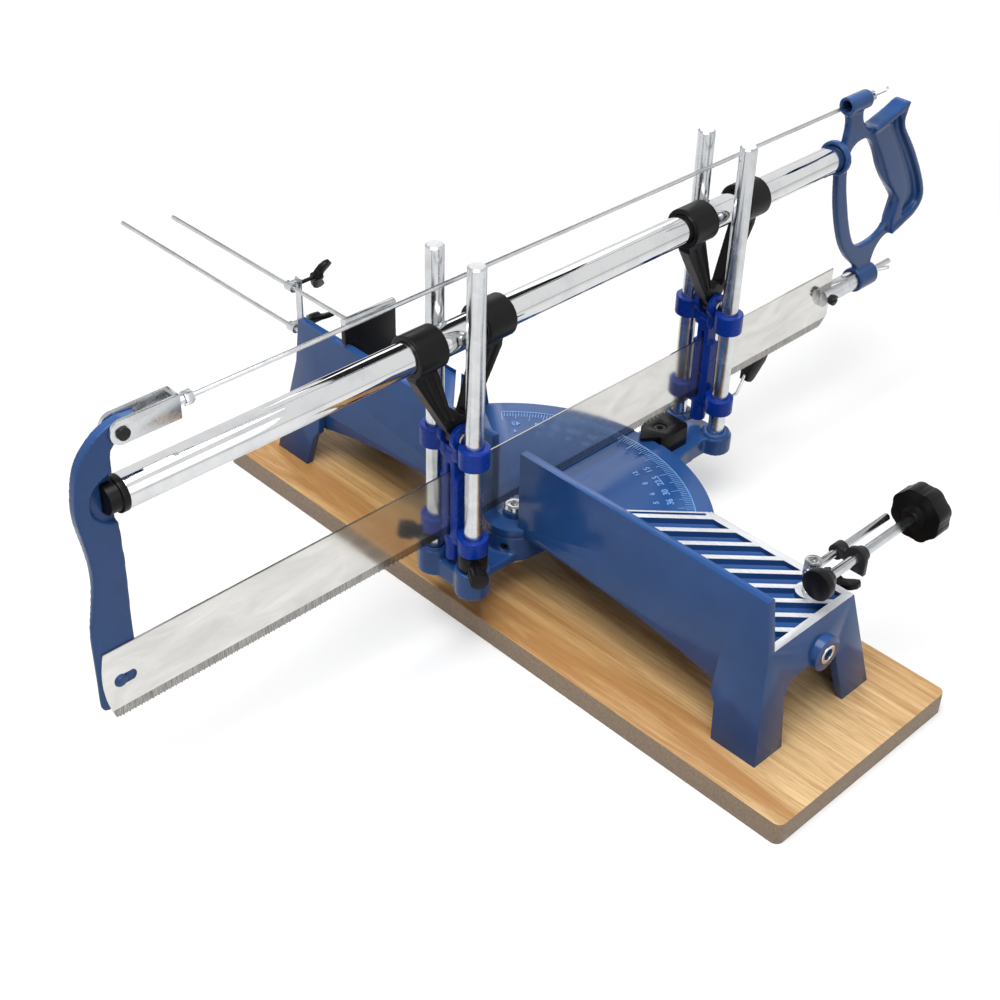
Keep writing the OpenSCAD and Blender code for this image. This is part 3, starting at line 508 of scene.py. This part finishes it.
class SAW_OT_stage(bpy.types.Operator):
    """Floor, lamps, world and camera"""

    bl_idname = "saw.stage"
    bl_label = "Stage"

    def execute(self, context):
        settings = context.scene.saw_stage
        self.camera(context.scene, settings)
        self.floor(settings)
        self.lamps()
        self.cards()
        self.world(context.scene)
        context.scene.view_settings.view_transform = "Standard"
        return {"FINISHED"}

    def camera(self, scene, settings):
        data = bpy.data.cameras.new("camera")
        data.lens = settings.lens
        data.sensor_width = 36
        data.shift_x, data.shift_y = settings.shift
        data.clip_start = 0.01
        a, e, r = settings.azimuth, settings.elevation, settings.roll
        back = Vector((math.sin(a) * math.cos(e), -math.cos(a) * math.cos(e), math.sin(e)))
        right = Vector((math.cos(a), math.sin(a), 0))
        up = back.cross(right)
        right, up = (right * math.cos(r) + up * math.sin(r), up * math.cos(r) - right * math.sin(r))
        turn = Matrix((right, up, back)).transposed()
        obj = bpy.data.objects.new("camera", data)
        obj.matrix_world = Matrix.Translation(settings.camera_place) @ turn.to_4x4()
        scene.collection.objects.link(obj)
        scene.camera = obj

    def floor(self, settings):
        """A wide floor that takes the saw's shadow and otherwise shows white, also far from the lamps."""
        f = Finish("floor_paper", Roughness=0.9, Specular_IOR_Level=0.1, Base_Color=tuple(settings.floor))
        path = f.add("ShaderNodeLightPath")
        away = f.add("ShaderNodeVectorMath", {"operation": "LENGTH"}, input_0=f.place).outputs["Value"]
        far = f.spread(away, 0.8, 2.4, FLOOR_GLOW, 1.0)
        seen = f.math("MULTIPLY", path.outputs["Is Camera Ray"], far)
        mirrored = f.math("MULTIPLY", path.outputs["Is Glossy Ray"], FLOOR_GLOW)
        glow = f.add("ShaderNodeEmission", Color=(1.0, 1.0, 1.0))
        f.join(f.math("MAXIMUM", seen, mirrored), glow.inputs["Strength"])
        both = f.add("ShaderNodeAddShader")
        f.join(f.shader.outputs["BSDF"], both.inputs[0])
        f.join(glow.outputs["Emission"], both.inputs[1])
        f.join(both.outputs["Shader"], f.output.inputs["Surface"])
        mesh = sheet_mesh("floor", 12.0, 12.0)
        mesh.materials.append(f.material)
        obj = bpy.data.objects.new("floor", mesh)
        obj.location.z = CAD_BOX[0].z - 0.05 * MM
        bpy.context.scene.collection.objects.link(obj)

    def lamps(self):
        """A large soft key overhead, and two weak ones from the sides."""
        for name, place, size, power in (
            ("key", (-0.25, 0.55, 2.1), 1.5, 46),
            ("fill", (-1.8, 0.3, 1.0), 1.2, 5),
            ("far", (1.3, -1.2, 1.4), 1.2, 8),
        ):
            data = bpy.data.lights.new(name, "AREA")
            data.size = size
            data.energy = power
            obj = bpy.data.objects.new(name, data)
            obj.location = place
            aim = Vector((0, 0, 0.1)) - Vector(place)
            obj.rotation_euler = aim.to_track_quat("-Z", "Y").to_euler()
            bpy.context.scene.collection.objects.link(obj)

    def cards(self):
        """Dark strips that only mirrors see; they draw the streaks in the chromed tube."""
        f = Finish("card_black", Roughness=0.9, Base_Color=(0.01, 0.01, 0.011))
        for name, (x, y, z), (wide, long) in (
            ("card_high", (0.72, -1.05, 1.7), (1.1, 1.5)),
            ("card_low", (2.4, -1.4, 0.55), (0.8, 2.4)),
        ):
            mesh = sheet_mesh(name, wide, long)
            mesh.materials.append(f.material)
            obj = bpy.data.objects.new(name, mesh)
            obj.location = (x, y, z)
            aim = Vector((-x, 0, 0.21 - z))
            obj.rotation_euler = aim.to_track_quat("Z", "Y").to_euler()
            obj.visible_camera = False
            obj.visible_diffuse = False
            obj.visible_shadow = False
            bpy.context.scene.collection.objects.link(obj)

    def world(self, scene):
        """Even light, seen as plain white by the camera and in mirrors."""
        world = bpy.data.worlds.new("studio")
        world.use_nodes = True
        tree = world.node_tree
        tree.nodes.clear()
        output = tree.nodes.new("ShaderNodeOutputWorld")
        light = tree.nodes.new("ShaderNodeBackground")
        light.inputs["Strength"].default_value = 0.24
        shown = tree.nodes.new("ShaderNodeBackground")
        shown.inputs["Strength"].default_value = 1.0
        for node in (light, shown):
            node.inputs["Color"].default_value = (1, 1, 1, 1)
        path = tree.nodes.new("ShaderNodeLightPath")
        rays = path.outputs["Is Camera Ray"]
        for kind in ("Is Glossy Ray", "Is Transmission Ray"):
            either = tree.nodes.new("ShaderNodeMath")
            either.operation = "MAXIMUM"
            tree.links.new(rays, either.inputs[0])
            tree.links.new(path.outputs[kind], either.inputs[1])
            rays = either.outputs[0]
        mix = tree.nodes.new("ShaderNodeMixShader")
        tree.links.new(rays, mix.inputs[0])
        tree.links.new(light.outputs[0], mix.inputs[1])
        tree.links.new(shown.outputs[0], mix.inputs[2])
        tree.links.new(mix.outputs[0], output.inputs["Surface"])
        scene.world = world


class SAW_OT_board(bpy.types.Operator):
    """The wooden board and its screws"""

    bl_idname = "saw.board"
    bl_label = "Board"

    def execute(self, context):
        dress("base_board", veneered_board("board_wood"), 0.8 * MM)
        dress("board_screws", plated("zinc_screws"), 0.3 * MM)
        return {"FINISHED"}


class SAW_OT_castings(bpy.types.Operator):
    """Enamelled castings: table, arm, bow and handle"""

    bl_idname = "saw.castings"
    bl_label = "Castings"

    def execute(self, context):
        blue = tuple(context.scene.saw_finish.casting)
        dress("table_casting", enamel("table_enamel", blue, worn=True), 0.7 * MM)
        paint = enamel("casting_enamel", blue)
        cast("swing_arm", paint, 0.8 * MM, 8, 0.5)
        cast("handle", paint, 0.7 * MM, 12, 0.5)
        hammered = enamel("hammered_enamel", blue, peel=4.0)
        cast("end_bow", hammered, 0.7 * MM, 8, 0.5)
        dress("blade_pin", hammered, 0.8 * MM, 3)
        self.socket_inserts()
        return {"FINISHED"}

    def socket_inserts(self):
        """A bright steel collar round the mouth of the socket in each end."""
        steel = plated("insert_zinc", rough=0.14)
        outer, inner, thick, edge = 6 * MM, 3.7 * MM, 0.8 * MM, 0.2 * MM
        for hand, side in (("left", -1), ("right", 1)):
            name = "socket_insert_" + hand
            mesh = plate_mesh(name, [ring((0, 0), outer), ring((0, 0), inner)], thick, edge)
            mesh.transform(Matrix.Translation((side * SOCKET_FACE, SOCKET.x, SOCKET.y)) @ SIDEWAYS)
            shade(piece(name, mesh, "base", steel))


class SAW_OT_mouldings(bpy.types.Operator):
    """Plastic carriages, forks, cap, block, knobs and stop plate"""

    bl_idname = "saw.mouldings"
    bl_label = "Mouldings"

    def execute(self, context):
        settings = context.scene.saw_finish
        royal = moulded("royal_plastic", tuple(settings.carriage), 0.24, 0.05)
        black = moulded("black_plastic", tuple(settings.black), 0.34, 0.1)
        for node in ("carriage_back", "carriage_front"):
            cast(node, royal, 0.45 * MM, 6, 0.4)
        for node in ("fork_back", "fork_front"):
            cast(node, black, 0.5 * MM, 5, 0.4)
        for node in ("index_block", "tube_end_cap", "lever_tab", "stop_ring", "stop_thumbscrew",
                     "stop_plate", "upper_wing_screw", "lower_wing_screw", "clamp_pad", "clamp_knob",
                     "clamp_wing_screw"):
            dress(node, black, 0.4 * MM)
        return {"FINISHED"}


class SAW_OT_metalwork(bpy.types.Operator):
    """Chromed tube, plated posts and rods, screws, nuts and pins"""

    bl_idname = "saw.metalwork"
    bl_label = "Metalwork"

    def execute(self, context):
        dress("back_tube", chrome("tube_chrome"), 0.3 * MM)
        dress("posts", plated("post_zinc", along=(0, 0, 1)))
        along_x = plated("rod_zinc_x", along=(1, 0, 0))
        along_y = plated("rod_zinc_y", along=(0, 1, 0))
        plain = plated("zinc", rough=0.26)
        for node in ("guide_rod", "stop_rod"):
            dress(node, along_x, 0.25 * MM)
        for node in ("tension_rod", "clamp_spindle", "clamp_rod", "index_lever"):
            dress(node, along_y, 0.2 * MM)
        for node in ("pivot_bolt", "pivot_nut", "fork_pin_back", "fork_pin_front", "blade_holder",
                     "tension_clevis", "lock_nut", "tension_wing_nut", "blade_wing_nut",
                     "stop_bracket", "clamp_post"):
            dress(node, plain, 0.35 * MM)
        dark = moulded("black_steel", (0.02, 0.02, 0.021), 0.3, 0.05)
        for node in ("index_screw", "hub_screw", "holder_screw", "clevis_pin", "clamp_bracket"):
            dress(node, dark, 0.2 * MM)
        return {"FINISHED"}


class SAW_OT_blade(bpy.types.Operator):
    """The blade with its teeth, in place of the plain one"""

    bl_idname = "saw.blade"
    bl_label = "Blade"

    def execute(self, context):
        settings = context.scene.saw_blade
        steel = ground_steel("blade_steel", tuple(context.scene.saw_finish.blade))
        middle = (BLADE_LOW.z + BLADE_HIGH.z) / 2
        holder = ring((BLADE_LOW.y + 7 * MM, middle + 3 * MM), 2.5 * MM)
        mesh = plate_mesh("toothed_blade", [self.outline(settings), self.kidney(middle), holder], 0.9 * MM)
        mesh.transform(SIDEWAYS)
        self.bend_teeth(mesh, settings)
        shade(piece("toothed_blade", mesh, "saw_frame", steel, ("blade",)))
        return {"FINISHED"}

    def first_root(self):
        """Where the first tooth starts along the blade."""
        return BLADE_LOW.y + 9 * MM

    def lead(self, settings):
        """How far a tooth's tip lies behind its root."""
        return settings.pitch * 0.32

    def outline(self, settings):
        """The blade's edge: a cut corner, the row of teeth and the rounded end at the bow."""
        near, far = BLADE_LOW.y, BLADE_HIGH.y
        top, root = BLADE_HIGH.z, TOOTH_LINE + settings.depth
        first = self.first_root()
        count = int((far - near - 14.5 * MM) / settings.pitch)
        points = [(near, top), (near, TOOTH_LINE + 8 * MM), (first - 2 * MM, root)]
        for k in range(count):
            start = first + k * settings.pitch
            points.append((start, root))
            points.append((start + self.lead(settings), TOOTH_LINE))
        points.append((first + count * settings.pitch, root))
        fullest, curve, steps = 103 * MM, 130 * MM, 12
        for k in range(steps + 1):
            z = root + (top - root) * k / steps
            points.append((far - (z - fullest) ** 2 / curve, z))
        return points

    def kidney(self, middle):
        """The long hole with a wide end that hooks over the bow's stud."""
        stud = Vector((281.5 * MM, middle + 1 * MM))
        radius, travel = 3.85 * MM, 5.7 * MM
        points = ring(stud, radius)
        return points[-8:] + points[:9] + [(y - travel, z) for y, z in points[8:17]]

    def bend_teeth(self, mesh, settings):
        """Sets the tips of the teeth to either side by turns."""
        first_tip = self.first_root() + self.lead(settings)
        for vertex in mesh.vertices:
            if vertex.co.z < TOOTH_LINE + 0.2 * MM:
                k = round((vertex.co.y - first_tip) / settings.pitch)
                side = 1 if k % 2 else -1
                vertex.co.x = vertex.co.x * 0.6 + side * settings.bend


class SAW_OT_protractor(bpy.types.Operator):
    """Raised degree marks, arc and plain numbers on the protractor"""

    bl_idname = "saw.protractor"
    bl_label = "Protractor"

    def execute(self, context):
        # The marks and numbers get a paler blue than the casting: a painted highlight on the raised marks.
        paint = enamel("scale_painted_highlight", (0.13, 0.27, 0.52))
        widest, rim = 50, 113 * MM
        work = bmesh.new()
        for degree in range(-widest, widest + 1):
            long = 2 if degree % 10 == 0 else 1 if degree % 5 == 0 else 0
            self.bar(work, math.radians(degree), (107.5 - 2.5 * long) * MM, rim, 0.42 * MM)
        for degree in range(-widest, widest):
            self.arc(work, math.radians(degree), math.radians(degree + 1), rim, 0.6 * MM)
        mesh = bpy.data.meshes.new("degree_marks")
        work.to_mesh(mesh)
        work.free()
        piece("degree_marks", mesh, "base", paint)
        for side in (-1, 1):
            for angle, words in ((45, "45"), (36, "36"), (30, "30"), (22.5, "22.5"), (15, "15")):
                self.number(words, side * angle, 99 * MM, 6.2 * MM, paint)
            for angle, words in ((45, "4"), (36, "5"), (30, "6"), (22.5, "8"), (15, "12")):
                self.number(words, side * angle, 90 * MM, 5.0 * MM, paint)
        return {"FINISHED"}

    def bar(self, work, angle, inner, outer, width):
        """A raised radial mark."""
        along = Vector((math.sin(angle), -math.cos(angle), 0))
        aside = Vector((math.cos(angle), math.sin(angle), 0)) * width / 2
        corners = [along * inner - aside, along * outer - aside, along * outer + aside,
                   along * inner + aside]
        self.block(work, corners, 0.35 * MM)

    def arc(self, work, start, end, radius, width):
        """One degree of the raised arc."""
        outer = radius + width
        corners = [Vector((math.sin(a) * r, -math.cos(a) * r, 0))
                   for a, r in ((start, radius), (end, radius), (end, outer), (start, outer))]
        self.block(work, corners, 0.3 * MM)

    def block(self, work, corners, height):
        """A low block that stands on the plate and is sunk into it a little; its top is drawn in."""
        sunk, draw = 0.1 * MM, 0.9995
        bottom = [work.verts.new((c.x, c.y, PLATE_TOP - sunk)) for c in corners]
        top = [work.verts.new((c.x * draw, c.y * draw, PLATE_TOP + height)) for c in corners]
        work.faces.new(top)
        work.faces.new(list(reversed(bottom)))
        for k in range(4):
            n = (k + 1) % 4
            work.faces.new((bottom[k], bottom[n], top[n], top[k]))

    def number(self, words, degrees, radius, size, paint):
        """A raised number that is read from the user's side."""
        curve = bpy.data.curves.new("number", "FONT")
        curve.body = words
        curve.size = size
        curve.align_x = "CENTER"
        curve.align_y = "CENTER"
        curve.extrude = 0.3 * MM
        curve.bevel_depth = 0.12 * MM
        curve.bevel_resolution = 1
        angle = math.radians(degrees)
        place = Vector((math.sin(angle) * radius, -math.cos(angle) * radius, PLATE_TOP))
        source = bpy.data.objects.new("number", curve)
        mesh = bpy.data.meshes.new_from_object(source)
        bpy.data.objects.remove(source)
        mesh.transform(Matrix.Translation(place) @ Matrix.Rotation(angle, 4, "Z"))
        label = "number_" + words.replace(".", "_") + ("_left" if degrees < 0 else "_right")
        piece(label, mesh, "base", paint)


STEPS = (
    ("saw.stage", SAW_OT_stage), ("saw.board", SAW_OT_board), ("saw.castings", SAW_OT_castings),
    ("saw.mouldings", SAW_OT_mouldings), ("saw.metalwork", SAW_OT_metalwork),
    ("saw.blade", SAW_OT_blade), ("saw.protractor", SAW_OT_protractor),
)
SETTINGS = (
    ("saw_finish", SawFinishSettings), ("saw_blade", SawBladeSettings), ("saw_stage", SawStageSettings),
)


class SAW_PT_panel(bpy.types.Panel):
    """Steps that dress the saw, in order"""

    bl_idname = "SAW_PT_panel"
    bl_label = "Mitre Saw"
    bl_space_type = "VIEW_3D"
    bl_region_type = "UI"
    bl_category = "Mitre Saw"

    def draw(self, context):
        for idname, _ in STEPS:
            self.layout.operator(idname)
        for name, _ in SETTINGS:
            group = getattr(context.scene, name)
            box = self.layout.box()
            for key in group.__annotations__:
                box.prop(group, key)


def register():
    for _, kind in SETTINGS:
        bpy.utils.register_class(kind)
    for _, kind in STEPS:
        bpy.utils.register_class(kind)
    bpy.utils.register_class(SAW_PT_panel)
    for name, kind in SETTINGS:
        setattr(bpy.types.Scene, name, bpy.props.PointerProperty(type=kind))


def unregister():
    for name, _ in SETTINGS:
        delattr(bpy.types.Scene, name)
    bpy.utils.unregister_class(SAW_PT_panel)
    for _, kind in reversed(STEPS):
        bpy.utils.unregister_class(kind)
    for _, kind in reversed(SETTINGS):
        bpy.utils.unregister_class(kind)


def run_step(idname):
    """Runs one operator by its name, and stops if it didn't finish."""
    group, name = idname.split(".")
    if getattr(getattr(bpy.ops, group), name)() != {"FINISHED"}:
        raise RuntimeError(f"{idname} didn't finish")


def main():
    register()
    for idname, _ in STEPS:
        run_step(idname)


if __name__ == "__main__":
    main()
